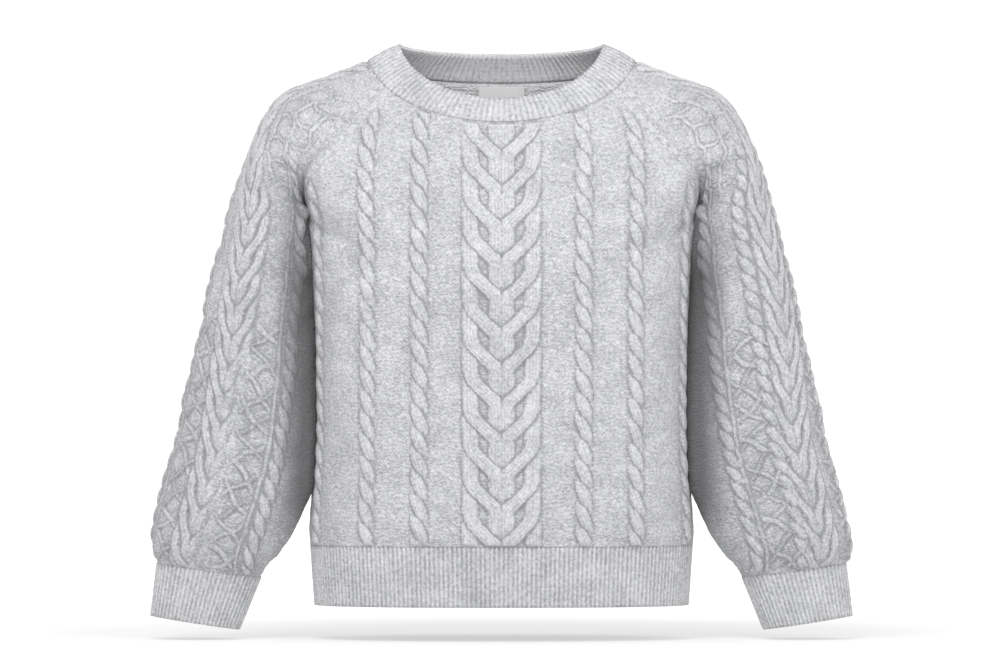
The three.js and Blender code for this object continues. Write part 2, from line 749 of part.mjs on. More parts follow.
const panelForm = {
  cable: BODY_CABLE,
  ropes: BODY_ROPES,
  sideColumns: BODY_SIDE_COLUMNS,
  lastRow: PANEL_ROWS,
  step: PANEL_ROW,
};
const sleeveForm = {
  cable: SLEEVE_CABLE,
  ropes: SLEEVE_ROPES,
  sideColumns: SLEEVE_SIDE_COLUMNS,
  lastRow: SLEEVE_ROWS,
  step: SLEEVE_ROW,
};

const knitted = {
  front: knitPiece('front', panelForm),
  back: knitPiece('back', panelForm),
  right_sleeve: knitPiece('right_sleeve', sleeveForm),
  left_sleeve: knitPiece('left_sleeve', sleeveForm),
};

const pieces = {
  ...Object.fromEntries(Object.entries(knitted).map(([name, piece]) => [name, piece.geometry])),
  neckband: neckbandGeometry(Object.values(knitted).map((piece) => piece.neckEdge)),
  front_hem_rib: hemGeometry('front'),
  back_hem_rib: hemGeometry('back'),
  right_cuff_rib: cuffGeometry(true),
  left_cuff_rib: cuffGeometry(false),
  neck_label: labelGeometry(),
};

const group = new THREE.Group();
Object.entries(pieces).forEach(([name, geometry]) => {
  const material = new THREE.MeshStandardMaterial({
    color: name === 'neck_label' ? LABEL_WHITE : GREY,
    roughness: 0.95,
    metalness: 0,
  });
  const mesh = new THREE.Mesh(geometry, material);
  mesh.name = name;
  group.add(mesh);
});

export default group;
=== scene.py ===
import math

import bpy
import numpy as np
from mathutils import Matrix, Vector


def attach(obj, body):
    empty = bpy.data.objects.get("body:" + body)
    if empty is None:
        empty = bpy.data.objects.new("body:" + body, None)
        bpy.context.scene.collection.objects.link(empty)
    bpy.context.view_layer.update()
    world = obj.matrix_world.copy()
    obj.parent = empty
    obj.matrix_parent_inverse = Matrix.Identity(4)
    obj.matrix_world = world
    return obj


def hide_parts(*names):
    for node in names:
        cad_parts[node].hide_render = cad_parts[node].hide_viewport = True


# Cable knit sweater with raglan sleeves. Every knitted piece is a thin shell on the form of its solid,
# with cables, ribs and creases in the mesh and single stitches in the material. Sizes are millimetres
# until a mesh is made. "w" runs along a row of knitting from a piece's middle line and "v" down it.

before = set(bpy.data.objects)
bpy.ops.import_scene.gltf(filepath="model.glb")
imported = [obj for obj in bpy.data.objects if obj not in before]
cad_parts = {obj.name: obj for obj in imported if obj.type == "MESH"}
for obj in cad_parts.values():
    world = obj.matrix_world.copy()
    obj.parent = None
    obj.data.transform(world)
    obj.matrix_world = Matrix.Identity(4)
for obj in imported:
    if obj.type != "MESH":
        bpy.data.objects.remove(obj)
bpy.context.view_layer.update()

MM = 0.001
WALL = 2.4
BAND_WALL = 3.0
GRID = 1.62
INNER_STRIDE = 3

NECK_Y = -5.0
NECK_SEAM = dict(half=133, front=92, back=80, z=2, front_drop=64, back_drop=21)
NECK_EDGE = dict(half=101.5, front=77, back=71, z=18, front_drop=56, back_drop=7.5)
NECK_SOFTNESS = 0.12
BAND_BULGE = 1.4
RISE_FRONT, RISE_SIDE, RISE_BACK = np.radians((24, 63, 20))
FRONT_RAGLAN, BACK_RAGLAN = np.radians((60.7, 120))
RAGLAN_ROWS, PANEL_ROWS, SLEEVE_ROWS, NECK_FADE_ROWS = 12, 36, 39, 6
HEM_TOP, HEM_BOTTOM = -483.0, -543.0
HEM_TOP_RING, HEM_BOTTOM_RING = (190.5, 110.5), (186.5, 107)
ROUND, BOXY = 2.0, 2.4
SEAM = 0.1
SLEEVE_LINE_TURN = dict(right=0.36, left=0.26)


def table(names, *rows):
    return {name: np.array(column, float) for name, column in zip(names.split(), zip(*rows))}


SIDE_LINE = table(
    "at x y",
    (-150, 195.5, 2), (-166, 192.5, 1), (-200, 190.5, 0), (-250, 188, 0), (-300, 186.5, 0),
    (-350, 186, 0), (-400, 187.5, 0), (-440, 190.5, 0), (-470, 192.5, 0), (-483, 191, 0),
)
MIDDLE_LINES = table(
    "at front back",
    (-19, 92, 75), (-62, 97, 99), (-100, 107, 109), (-140, 114, 113), (-190, 118, 113),
    (-240, 116, 109), (-300, 111, 105), (-350, 109, 104), (-400, 109, 106), (-440, 111, 109),
    (-470, 113, 112), (-483, 111, 111),
)
SLEEVE = table(
    "at outX outZ frontX frontZ backX backZ y depth open",
    (0, 133, 2, 116, -29, 115, -8, -5, 48, 60),
    (3, 182, -15, 150, -61, 150, -45, -2, 70, 82),
    (5.4, 219, -32, 176, -87, 176, -74, 0, 80, 100),
    (7.5, 239, -57, 190, -103, 190, -95, 1, 79, 113),
    (9.5, 254, -90, 197, -118, 197, -115, 2, 74, 131),
    (11, 263, -116, 197.5, -137, 197.5, -136, 2, 70, 156),
    (12, 268, -132, 195.5, -150, 195.5, -150, 2, 68, 180),
    (13, 272, -145, 195, -164, 195, -164, 2, 67, 180),
    (15, 279, -172, 192.5, -192, 192.5, -192, 1, 65, 180),
    (18.5, 293, -225, 189.3, -250, 189.3, -250, -1, 60, 180),
    (22, 303, -275, 187.8, -303, 187.8, -303, -4, 56, 180),
    (25.7, 315, -331, 187.6, -362, 187.6, -362, -8, 53, 180),
    (29, 325, -378, 189.5, -408, 189.5, -408, -12, 52, 180),
    (31.5, 336, -413, 193, -437, 193, -437, -15, 52, 180),
    (33.2, 342, -436, 201, -458, 201, -458, -17, 52, 180),
    (34.8, 346, -456, 210, -476, 210, -476, -18, 51, 180),
    (36.3, 349, -474, 222, -492, 222, -492, -19, 49, 180),
    (37.7, 348, -489, 233, -504, 233, -504, -20, 43, 180),
    (39, 344, -501, 241, -515, 241, -515, -20, 34, 180),
)
CUFF = table(
    "at outX outZ frontX frontZ y depth",
    (0, 344, -501.15, 241, -515.15, -20, 33.7),
    (1, 350, -553.5, 262.5, -567, -24, 29),
)


def read(sizes, column, place):
    """The smooth value of one column of a table at places between its rows, with no overshoot."""
    at, value = sizes["at"], sizes[column]
    way = 1 if at[-1] > at[0] else -1
    place = np.asarray(place, float)
    i = np.clip(np.searchsorted(way * at, way * place, side="right") - 1, 0, len(at) - 2)
    secant = np.diff(value) / np.diff(at)
    slope = np.concatenate((secant[:1], np.zeros(len(at) - 2), secant[-1:]))
    before, after = secant[:-1], secant[1:]
    both = before * after
    total = np.where(both > 0, before + after, 1)
    slope[1:-1] = np.where(both > 0, 2 * both / total, 0)
    span = np.diff(at)[i]
    s = np.clip((place - at[i]) / span, 0, 1)
    rest = 3 * s**2 - 2 * s**3
    return (
        (1 - rest) * value[i]
        + (s**3 - 2 * s**2 + s) * span * slope[i]
        + rest * value[i + 1]
        + (s**3 - s**2) * span * slope[i + 1]
    )


def lerp(a, b, t):
    return a + (b - a) * t


def ease(x, start, end):
    s = np.clip((x - start) / (end - start), 0, 1)
    return s * s * (3 - 2 * s)


def points(*axes):
    return np.stack(np.broadcast_arrays(*axes), axis=-1)


def unit(vectors):
    return vectors / np.maximum(np.linalg.norm(vectors, axis=-1, keepdims=True), 1e-9)


# Forms of the solids


def neck_ring(ring, angle):
    across = np.cos(angle)
    soft = np.hypot(across, NECK_SOFTNESS) - NECK_SOFTNESS
    full = math.hypot(1, NECK_SOFTNESS) - NECK_SOFTNESS
    depth = np.where(across > 0, ring["front"], ring["back"])
    drop = np.where(across > 0, ring["front_drop"], ring["back_drop"])
    return points(ring["half"] * np.sin(angle), NECK_Y - depth * across, ring["z"] - drop * soft / full)


def neck_normal(angle):
    side = np.sin(angle) ** 2
    rise = side * RISE_SIDE + (1 - side) * np.where(np.cos(angle) > 0, RISE_FRONT, RISE_BACK)
    return points(np.sin(angle) * np.cos(rise), -np.cos(angle) * np.cos(rise), np.sin(rise))


def sleeve_section(row, t):
    opening = np.radians(read(SLEEVE, "open", row))
    turn = opening * t
    out = (np.cos(turn) - np.cos(opening)) / (1 - np.cos(opening))
    back = (1 + t) / 2
    seam_x = lerp(read(SLEEVE, "frontX", row), read(SLEEVE, "backX", row), back)
    seam_z = lerp(read(SLEEVE, "frontZ", row), read(SLEEVE, "backZ", row), back)
    return points(
        lerp(seam_x, read(SLEEVE, "outX", row), out),
        read(SLEEVE, "y", row) + read(SLEEVE, "depth", row) * np.sin(turn),
        lerp(seam_z, read(SLEEVE, "outZ", row), out),
    )


def sleeve_point(row, t):
    """The left sleeve. t runs from the front seam at -1 over the outer line to the back seam at 1."""
    row, t = np.broadcast_arrays(np.asarray(row, float), np.asarray(t, float))
    fade = np.maximum(0, 1 - row / NECK_FADE_ROWS) ** 2
    start = neck_ring(NECK_SEAM, lerp(FRONT_RAGLAN, BACK_RAGLAN, (1 + t) / 2)) - sleeve_section(0 * row, t)
    return sleeve_section(row, t) + start * fade[..., None]


def section_depth(side, reach, power):
    def bow(s):
        return np.maximum(0, 1 - np.abs(s) ** power) ** (1 / power)

    edge = bow(reach)
    return (bow(side * reach) - edge) / (1 - edge)


def panel_point(front, row, t):
    row, t = np.broadcast_arrays(np.asarray(row, float), np.asarray(t, float))
    upper = np.minimum(1, row / RAGLAN_ROWS)
    lower = np.maximum(0, row - RAGLAN_ROWS) / (PANEL_ROWS - RAGLAN_ROWS)
    side_z = lerp(SIDE_LINE["at"][0], HEM_TOP, lower)
    edge = sleeve_point(np.minimum(row, RAGLAN_ROWS), np.full(row.shape, -1.0 if front else 1.0))
    side_edge = points(read(SIDE_LINE, "x", side_z), read(SIDE_LINE, "y", side_z), side_z)
    edge = np.where((lower > 0)[..., None], side_edge, edge)
    neck = neck_ring(NECK_SEAM, 0.0 if front else math.pi)
    middle_z = lerp(neck[2], HEM_TOP, row / PANEL_ROWS)
    table_y = (-1 if front else 1) * read(MIDDLE_LINES, "front" if front else "back", middle_z)
    middle_y = lerp(neck[1], table_y, upper)
    reach = lerp(math.sin(FRONT_RAGLAN if front else BACK_RAGLAN), 1, upper)
    side = np.sin(t * np.arcsin(np.minimum(1, reach))) / reach
    depth = section_depth(side, reach, lerp(ROUND, BOXY, upper))
    return points(
        (1 if front else -1) * edge[..., 0] * side,
        lerp(edge[..., 1], middle_y, depth),
        lerp(edge[..., 2], middle_z, depth),
    )


def hem_point(front, q, s):
    side = np.sin((2 * s - 1) * math.pi / 2)
    half = lerp(HEM_TOP_RING[0], HEM_BOTTOM_RING[0], q)
    depth = lerp(HEM_TOP_RING[1], HEM_BOTTOM_RING[1], q)
    y = depth * section_depth(side, 1, BOXY) + SEAM / 2
    way = 1 if front else -1
    return points(way * half * side, -way * y, lerp(HEM_TOP - SEAM, HEM_BOTTOM, q))


def cuff_point(right, q, s):
    turn = (2 * s - 1) * math.pi
    out = (1 + np.cos(turn)) / 2
    way = -1 if right else 1
    return points(
        way * lerp(read(CUFF, "frontX", q), read(CUFF, "outX", q), out),
        read(CUFF, "y", q) + way * read(CUFF, "depth", q) * np.sin(turn),
        lerp(read(CUFF, "frontZ", q), read(CUFF, "outZ", q), out),
    )


def band_point(q, s):
    angle = (2 * s - 1) * math.pi
    low = neck_ring(NECK_SEAM, angle) + np.array((0, 0, SEAM))
    out = neck_normal(angle) * (BAND_BULGE * np.sin(math.pi * np.asarray(q)))[..., None]
    return lerp(neck_ring(NECK_EDGE, angle), low, np.asarray(q)[..., None]) + out


# Fine grids on those forms


def spread_evenly(point, rows, columns, samples=360):
    """t of evenly spaced columns in each row of a form that runs from t = -1 to 1."""
    fine = np.linspace(-1, 1, samples + 1)
    line = point(rows[:, None], fine[None, :])
    steps = np.linalg.norm(np.diff(line, axis=1), axis=-1)
    length = np.concatenate((np.zeros((len(rows), 1)), np.cumsum(steps, axis=1)), axis=1)
    share = np.linspace(0, 1, columns)
    t = np.array([np.interp(share * run[-1], run, fine) for run in length])
    return t, length, fine


def normals(grid, closed):
    down = np.gradient(grid, axis=0)
    if closed:
        ring = np.concatenate((grid[:, -2:-1], grid, grid[:, 1:2]), axis=1)
        along = (ring[:, 2:] - ring[:, :-2]) / 2
    else:
        along = np.gradient(grid, axis=1)
    return unit(np.cross(down, along))


# Relief of the knit. Each function gives a height in mm, and where a strand lies over the plain ground
# also its share and the place on the strand, across and along


class Relief:
    def __init__(self, shape):
        self.height = np.zeros(shape)
        self.strand = np.zeros(shape)
        self.across = np.zeros(shape)
        self.along = np.zeros(shape)
        self.shade = np.zeros(shape)
        self.painted_fold_shade = np.zeros(shape)

    def lay(self, mask, height, strand, across, along):
        old = self.height[mask]
        over = height > old
        self.height[mask] = np.where(over, height, old)
        self.strand[mask] = np.where(over, strand, self.strand[mask])
        self.across[mask] = np.where(over, across, self.across[mask])
        self.along[mask] = np.where(over, along, self.along[mask])


def tube(x, y, path):
    """Height, across and along of the nearest place on a path of rows (x, y, half width, height)."""
    path = np.array(path, float)
    best = np.full(x.shape, 1e9)
    across = np.zeros(x.shape)
    along = np.zeros(x.shape)
    half = np.ones(x.shape)
    rise = np.zeros(x.shape)
    run = 0.0
    for (x0, y0, w0, h0), (x1, y1, w1, h1) in zip(path[:-1], path[1:]):
        dx, dy = x1 - x0, y1 - y0
        size = math.hypot(dx, dy)
        s = np.clip(((x - x0) * dx + (y - y0) * dy) / size**2, 0, 1)
        away = np.hypot(x - x0 - s * dx, y - y0 - s * dy)
        side = np.where((x - x0) * dy - (y - y0) * dx > 0, 1, -1)
        near = away < best
        best = np.where(near, away, best)
        across = np.where(near, away * side, across)
        along = np.where(near, run + s * size, along)
        half = np.where(near, lerp(w0, w1, s), half)
        rise = np.where(near, lerp(h0, h1, s), rise)
        run += size
    u = np.clip(best / half, 0, 1)
    return rise * (1 - u**3.6) ** 0.6, across, along, ease(1 - u, 0, 0.2)


# A rope's strand: its swing and half width as shares of the rope's half width, and its reach up and
# down as a share of the pitch. Then the ladder's cords and the way from one rung to the next
ROPE_SWING, ROPE_STRAND, ROPE_REACH = 0.43, 0.62, 0.68
LADDER_LINES, LADDER_STEP = (32, 58, 84), 27
CABLE_MARGIN = 12

# Paths of one strand beside the middle line: x, y, half width, height
BODY_V = (
    (31, -60, 8, 0.4), (31, -50, 8.4, 1.6), (31, -40, 8.4, 2.6), (31, -32, 8.2, 3.2),
    (30.4, -24, 7.8, 3.6), (28, -17, 7.4, 3.8), (23.6, -11.6, 7.1, 3.9), (18, -6.6, 7, 3.9),
    (12, -1.2, 7, 3.8), (6.5, 4, 7.7, 3.5), (3.6, 10, 9.6, 3.1), (3.2, 18, 10, 2.6),
    (3.2, 27, 10, 1.9), (3.2, 38, 10, 0.5),
)
SLEEVE_V = (
    (17.5, -48, 4.8, 0.3), (17.5, -39, 5, 1.4), (17.5, -30, 5, 2.3), (16.6, -21, 4.9, 2.8),
    (13.4, -13, 4.8, 3), (9, -5, 4.9, 3), (4.8, 2, 5.6, 2.8), (2.6, 9, 6.4, 2.4),
    (2.3, 17, 6.6, 1.8), (2.3, 29, 6.6, 0.5),
)


def v_cable(relief, path, w, v, fade, first, pitch):
    """A wide cable of two sets of strands that meet in a V on the middle line, the first V at "first"."""
    top, bottom = path[0][1], path[-1][1]
    band = (np.abs(w) < path[0][0] + CABLE_MARGIN) & (fade > 0)
    x, y, share = np.abs(w[band]), v[band], fade[band]
    side = np.sign(w[band])
    low = int(np.floor((y.min() - first) / pitch)) - 1
    high = int(np.ceil((y.max() - first) / pitch)) + 2
    for k in range(low, high + 1):
        local = y - first - k * pitch - 0.8 * side * math.sin(2.1 * k)
        near = (local > top - 2) & (local < bottom + 2)
        if not near.any():
            continue
        height, across, along, strand = (np.zeros(x.shape) for _ in range(4))
        height[near], across[near], along[near], strand[near] = tube(x[near], local[near], path)
        relief.lay(band, height * share, strand * share, across * side, along + 11 * k)


def rope(relief, w, v, fade, centre, pitch, half, rise, slant=1, phase=0.0):
    """A rope of two strands: each passes over the other on a slant, and under it between."""
    band = (np.abs(w - centre) < half + 2) & (fade > 0)
    if not band.any():
        return
    x, y, share = (w[band] - centre) * slant, v[band] - phase, fade[band]
    swing, width = ROPE_SWING * half, ROPE_STRAND * half
    s = np.linspace(-1, 1, 9)
    sway = swing * np.sin(math.pi / 2 * s)
    path = list(zip(sway, ROPE_REACH * pitch * s, width * (1 - 0.25 * s**2), rise * (1 - 0.85 * s**2)))
    for k in range(int(np.floor(y.min() / pitch)) - 1, int(np.ceil(y.max() / pitch)) + 2):
        local = y - k * pitch
        near = np.abs(local) < pitch
        if not near.any():
            continue
        height, across, along, strand = (np.zeros(x.shape) for _ in range(4))
        parts = tube(x[near], local[near], path)
        height[near], across[near], along[near], strand[near] = parts
        relief.lay(band, height * share, strand * share, across * slant, along + 7 * k)


def ridge(relief, distance, centre, half, rise, along, fade=1.0):
    u = np.clip(np.abs(distance - centre) / half, 0, 1)
    height = rise * (1 - u**2.4) ** 0.7 * fade
    band = u < 1
    strand = ease(1 - u, 0, 0.3) * fade
    relief.lay(band, *(value[band] for value in (height, strand, distance - centre, along)))


def lattice(relief, u, v, fade, pitch, half, rise):
    """Thin cords that cross in uneven diamonds."""
    band = fade > 0.02
    x, y, share = u[band], v[band], fade[band]
    for slope, shift in ((0.8, 0.0), (-0.9, 11.0)):
        bend = 3.4 * np.sin(y / 15.0 + x / 12.0 + shift) + 1.6 * np.sin(y / 7.3 - x / 6.1)
        phase = (y + slope * x + bend + shift) / pitch
        away = np.abs(phase - np.round(phase)) * pitch / math.hypot(1, slope)
        part = np.clip(away / half, 0, 1)
        broken = 0.82 + 0.18 * np.sin(1.9 * np.round(phase) + x / 8.0 + shift)
        height = rise * (1 - part**2.2) ** 0.7 * broken * share
        side = (phase - np.round(phase)) * pitch
        relief.lay(band, height, ease(1 - part, 0, 0.3) * share, side, y * math.hypot(1, 1 / slope))


def ladder(relief, side, u, v, fade):
    """Cords that run down the shoulder, with rungs between them."""
    for at in LADDER_LINES:
        bend = 2.6 * np.sin(v / 9.0 + at) + 1.4 * np.sin(v / 4.1)
        ridge(relief, side * u, at + bend, 2.4, 1.7, v, fade)
    first, middle, last = LADDER_LINES
    between = ease(side * u, first, first + 4) * (1 - ease(side * u, last - 4, last))
    place = v + 4 * np.sin(u / 6.0) + 11 * (side * u > middle)
    rung = place - LADDER_STEP * np.round(place / LADDER_STEP)
    ridge(relief, rung, 0, 2.1, 1.4, u, fade * between)


# Meshes


def make_mesh(name, vertices, faces, sizes, layers, uvs, flat=0):
    """A mesh from arrays: faces as a flat list of corners, with the count of each in sizes.
    The last faces, as many as "flat" says, aren't shaded smooth."""
    mesh = bpy.data.meshes.new(name)
    mesh.vertices.add(len(vertices))
    mesh.vertices.foreach_set("co", (vertices * MM).astype(np.float32).ravel())
    starts = np.concatenate(([0], np.cumsum(sizes)[:-1]))
    mesh.loops.add(len(faces))
    mesh.loops.foreach_set("vertex_index", faces.astype(np.int32))
    mesh.polygons.add(len(sizes))
    mesh.polygons.foreach_set("loop_start", starts.astype(np.int32))
    mesh.polygons.foreach_set("use_smooth", np.arange(len(sizes)) < len(sizes) - flat)
    for layer, values in uvs.items():
        uv = mesh.uv_layers.new(name=layer)
        uv.data.foreach_set("uv", values[faces].astype(np.float32).ravel())
    for layer, values in layers.items():
        attribute = mesh.attributes.new(layer, "FLOAT", "POINT")
        attribute.data.foreach_set("value", values.astype(np.float32))
    mesh.update()
    mesh.validate()
    thing = bpy.data.objects.new(name, mesh)
    bpy.context.scene.collection.objects.link(thing)
    return thing


def shell(name, outer, inner_full, closed, layers, uvs, stride, join_rows=None):
    """A closed thin shell: a fine outer grid, and an inner one that keeps every stride-th line of it."""
    rows, columns = outer.shape[:2]
    keep_rows = np.unique(np.append(np.arange(0, rows, stride), rows - 1))
    keep_columns = np.unique(np.append(np.arange(0, columns, stride), columns - 1))
    inner = inner_full[np.ix_(keep_rows, keep_columns)]
    count = rows * columns
    outer_index = np.arange(count).reshape(rows, columns)
    inner_index = count + np.arange(inner.shape[0] * inner.shape[1]).reshape(inner.shape[:2])
    join = 0 if closed else rows
    if join_rows is not None:
        join = join_rows
    outer_index[join:, -1] = outer_index[join:, 0]
    first_joined = int(np.searchsorted(keep_rows, join))
    inner_index[first_joined:, -1] = inner_index[first_joined:, 0]

    def quads(index, turned):
        a, b, c, d = index[:-1, :-1], index[1:, :-1], index[1:, 1:], index[:-1, 1:]
        order = (a, d, c, b) if turned else (a, b, c, d)
        return np.stack([corner.ravel() for corner in order], axis=1)

    faces = [quads(outer_index, False), quads(inner_index, True)]
    loose = []

    def rim(fine, coarse, kept, turned):
        for i in range(len(kept) - 1):
            run = list(fine[kept[i] : kept[i + 1] + 1])
            face = run + [coarse[i + 1], coarse[i]]
            loose.append(face if turned else face[::-1])

    rim(outer_index[0], inner_index[0], keep_columns, True)
    rim(outer_index[-1], inner_index[-1], keep_columns, False)
    if join > 0:
        side_rows = keep_rows[keep_rows <= join] if join < rows else keep_rows
        used = len(side_rows)
        rim(outer_index[:, 0], inner_index[:used, 0], side_rows, False)
        rim(outer_index[:, -1], inner_index[:used, -1], side_rows, True)
    vertices = np.concatenate((outer.reshape(-1, 3), inner.reshape(-1, 3)))
    grids = np.concatenate(faces)
    corners = np.concatenate((grids.ravel(), np.array([c for face in loose for c in face], int)))
    sizes = np.concatenate((np.full(len(grids), 4), [len(face) for face in loose]))

    def both(values):
        more = values.shape[2:]
        small = values[np.ix_(keep_rows, keep_columns)]
        return np.concatenate((values.reshape(count, *more), small.reshape(-1, *more)))

    layers = {key: both(value) for key, value in layers.items()}
    layers["inside"] = np.concatenate((np.zeros(count), np.ones(len(vertices) - count)))
    uvs = {key: both(value) for key, value in uvs.items()}
    used_vertices = np.unique(corners)
    index = np.full(len(vertices), -1)
    index[used_vertices] = np.arange(len(used_vertices))
    layers = {key: value[used_vertices] for key, value in layers.items()}
    uvs = {key: value[used_vertices] for key, value in uvs.items()}
    return make_mesh(name, vertices[used_vertices], index[corners], sizes, layers, uvs, len(loose))


def relief_layers(relief, w, v):
    layers = {"strand": relief.strand, "shade": relief.shade, "painted_fold_shade": relief.painted_fold_shade}
    uvs = {"ground": points(w, v) * MM, "cable": points(relief.across, relief.along) * MM}
    return layers, uvs


def softened(height, reach):
    for axis in (0, 1):
        steps = range(-reach, reach + 1)
        height = sum(np.roll(height, step, axis=axis) for step in steps) / len(steps)
    return height


def hollow_shade(height):
    """How much a place lies below what is round it, for painted shade in the hollows between strands and a
    little painted light on raised ones.
    """
    near = softened(height, 1) - height
    wide = softened(height, 4) - height
    return np.clip(1.9 * near + 0.24 * wide, -0.14, 0.95)


def crumple(w, v):
    """The small unevenness of a plain knitted ground."""
    rows = np.sin(2 * math.pi * v / 6.4 + 1.7 * np.sin(w / 8.3) + np.sin(v / 31.0))
    lumps = np.sin(w / 4.7 + 1.9 * np.sin(v / 13.0)) * np.sin(v / 5.9 + 2.3 * np.sin(w / 17.0))
    broad = np.sin(w / 23.0 + 1.1 * np.sin(v / 41.0)) * np.sin(v / 29.0 + np.sin(w / 37.0))
    return 0.1 * rows + 0.32 * lumps + 0.5 * broad


# Folds: soft troughs and ridges, given as lines of (x, z) on a panel and (u, v) on a sleeve


def crease(x, z, width, depth, *line):
    """A soft trough along a line of places, or a ridge where depth is below zero."""
    corners = np.array(line, float)
    reach = np.concatenate(([0], np.cumsum(np.linalg.norm(np.diff(corners, axis=0), axis=-1))))
    steps = int(2 * reach[-1] / width) + 1
    places = (np.arange(steps) + 0.5) / steps
    spots = [np.interp(places * reach[-1], reach, corners[:, axis]) for axis in (0, 1)]
    sum_of_spots = 0 * x
    for share, spot_x, spot_z in zip(places, *spots):
        away = ((x - spot_x) ** 2 + (z - spot_z) ** 2) / width**2
        sum_of_spots += math.sin(math.pi * share) ** 0.7 * np.exp(-away)
    return -depth * sum_of_spots * reach[-1] / (steps * width * math.sqrt(math.pi))


def panel_folds(x, z, front):
    folds = 0 * x
    for side in (-1, 1):
        lean = 1 if side > 0 else 1.12
        folds += crease(side * x, z, 9, 2.4, (190, -138), (166, -168), (140 * lean, -205), (122, -250))
        folds += crease(side * x, z, 11, -1.8, (186, -170), (160, -205), (146, -252))
        folds += crease(side * x, z, 10, 1.5, (150, -66), (132, -96), (124, -134))
        folds += crease(side * x, z, 12, 1.4, (176, -330), (150, -372 * lean), (112, -398))
        folds += crease(side * x, z, 13, -1.6, (180, -440), (140, -455), (96, -452))
    if front:
        folds += crease(x, z, 15, 1.3, (-70, -230), (-84, -300), (-62, -366))
        folds += crease(x, z, 14, 1.2, (64, -180), (78, -240), (66, -300))
    else:
        folds += crease(x, z, 16, 2.0, (-40, -60), (10, -72), (60, -58))
        folds += crease(x, z, 16, 1.6, (-90, -250), (-10, -300), (70, -330))
    return folds


def sleeve_folds(u, v, end):
    folds = crease(u, v, 9, 2.6, (96, 214), (60, 250), (30, 268))
    folds += crease(u, v, 9, -2.0, (104, 246), (72, 276), (40, 300))
    folds += crease(u, v, 10, 2.4, (108, 300), (76, 330), (44, 352), (12, 356))
    folds += crease(u, v, 10, -1.8, (96, 352), (60, 386), (24, 398))
    folds += crease(u, v, 9, 2.2, (-100, 232), (-62, 262), (-24, 276))
    folds += crease(u, v, 10, 2.4, (-104, 318), (-60, 350), (-16, 362))
    folds += crease(u, v, 11, -2.0, (-96, 400), (-50, 430), (0, 436))
    folds += crease(u, v, 9, 2.2, (92, 452), (64, 486), (40, 530))
    folds += crease(u, v, 9, 2.0, (-30, 470), (-44, 510), (-36, 560))
    gathers = np.sin(u / 2.9 + 0.9 * np.sin(u / 13.0)) + 0.5 * np.sin(u / 5.3 + 2)
    return folds + 0.8 * gathers * ease(60 - end, 0, 55)


# The four large pieces. A grid's size sets how many rows and columns a piece has

PANEL_SIZE, SLEEVE_SIZE = (432, 508), (590, 352)
PANEL_ROW = 11.7
BODY_PITCH, BODY_FIRST_V = 35.1, 90
BODY_ROPES = ((82, 22), (137, 22), (207, 22))
SLEEVE_PITCH, SLEEVE_FIRST_V = 29.2, 266 - 9 * 29.2
SLEEVE_ROPES = dict(right=((66, 19),), left=((32, 17), (80, 19)))
SLEEVE_CHAIN = dict(right=52, left=69)
# Painted shade: the sleeves' colour is darker than the body's from below the shoulder, for the light that
# reaches them less.
SLEEVE_SHADE = 0.18
BACK_ROPE = 118
BODY_ROPE_HALF, SLEEVE_ROPE_HALF = 9.8, 8.8
ROPE_RISE, BACK_ROPE_RISE = 3.9, 3.6
FASHION_PLACE, FASHION_HALF, FASHION_RISE = 6.5, 3.4, 0.8
LATTICE_PITCH, LATTICE_HALF = 29, 2.3
SEAM_BLEND = 12
SEAM_STEP = 0.02
EDGE_LIFT = 0.7

# How far from a raglan seam the cables and the folds set in
CABLE_FROM_SEAM, FOLD_FROM_SEAM = (10, 16), (0, 14)

# Where along a sleeve its patterns set in, and for the ladder also where it ends
BELOW_ARM_V, BACK_LATTICE_V, LATTICE_V = (120, 165), (250, 300), (318, 352)
LADDER_V, LADDER_END_V = (40, 58), (176, 214)

# A sleeve lies against the body where it is nearer than TOUCH_NEAR, and is free beyond TOUCH_FAR.
# The fold between them gets painted shade up to a width, and from a height to another
TOUCH, TOUCH_NEAR, TOUCH_FAR = 0.45, 7, 16
FOLD_SHADE_WIDTH, FOLD_SHADE_TOP, FOLD_SHADE_END = (8, 48), (150, 222), (430, 500)


def raglan_through(front, rows):
    """Along the left raglan seam, the direction through the cloth that both of its pieces share."""
    t = -1.0 if front else 1.0
    high = np.maximum(rows - SEAM_STEP, 0)
    low = np.minimum(rows + SEAM_STEP, RAGLAN_ROWS)

    def normal(point, end):
        at_end = np.full(rows.shape, end)
        down = point(low, at_end) - point(high, at_end)
        inward = point(rows, at_end * (1 - SEAM_STEP)) - point(rows, at_end)
        return unit(np.cross(down, -end * inward))

    panel_side = normal(lambda row, at: panel_point(front, row, at), -t)
    sleeve_side = normal(sleeve_point, t)
    down = points(0 * rows, 0 * rows, -np.maximum(0, 2 * rows / RAGLAN_ROWS - 1))
    along = unit(sleeve_point(low, np.full(rows.shape, t)) - sleeve_point(high, np.full(rows.shape, t)))
    through = panel_side + sleeve_side + down
    return unit(through - np.sum(through * along, axis=-1, keepdims=True) * along)


def edge_directions(name, rows):
    """The shared direction at the first and last column of a piece, row by row, and where it holds."""
    mirror = np.array((-1, 1, 1))
    upper = np.minimum(rows, RAGLAN_ROWS - 0.05)
    front, back = raglan_through(True, upper), raglan_through(False, upper)
    ends = {
        "front": (front * mirror, front),
        "back": (back, back * mirror),
        "left_sleeve": (front, back),
        "right_sleeve": (back * mirror, front * mirror),
    }[name]
    below = (rows > RAGLAN_ROWS)[:, None]
    if name in ("front", "back"):
        side = np.where(below, np.array((1.0, 0, 0)), 0)
        way = -1 if name == "front" else 1
        ends = (np.where(below, way * side, ends[0]), np.where(below, -way * side, ends[1]))
        return ends, np.ones(len(rows))
    return ends, (rows <= RAGLAN_ROWS).astype(float)


def body_half_width(y, z):
    depth = np.where(y < 0, read(MIDDLE_LINES, "front", z), read(MIDDLE_LINES, "back", z))
    return read(SIDE_LINE, "x", z) * np.maximum(0, 1 - np.abs(y / depth) ** BOXY) ** (1 / BOXY)


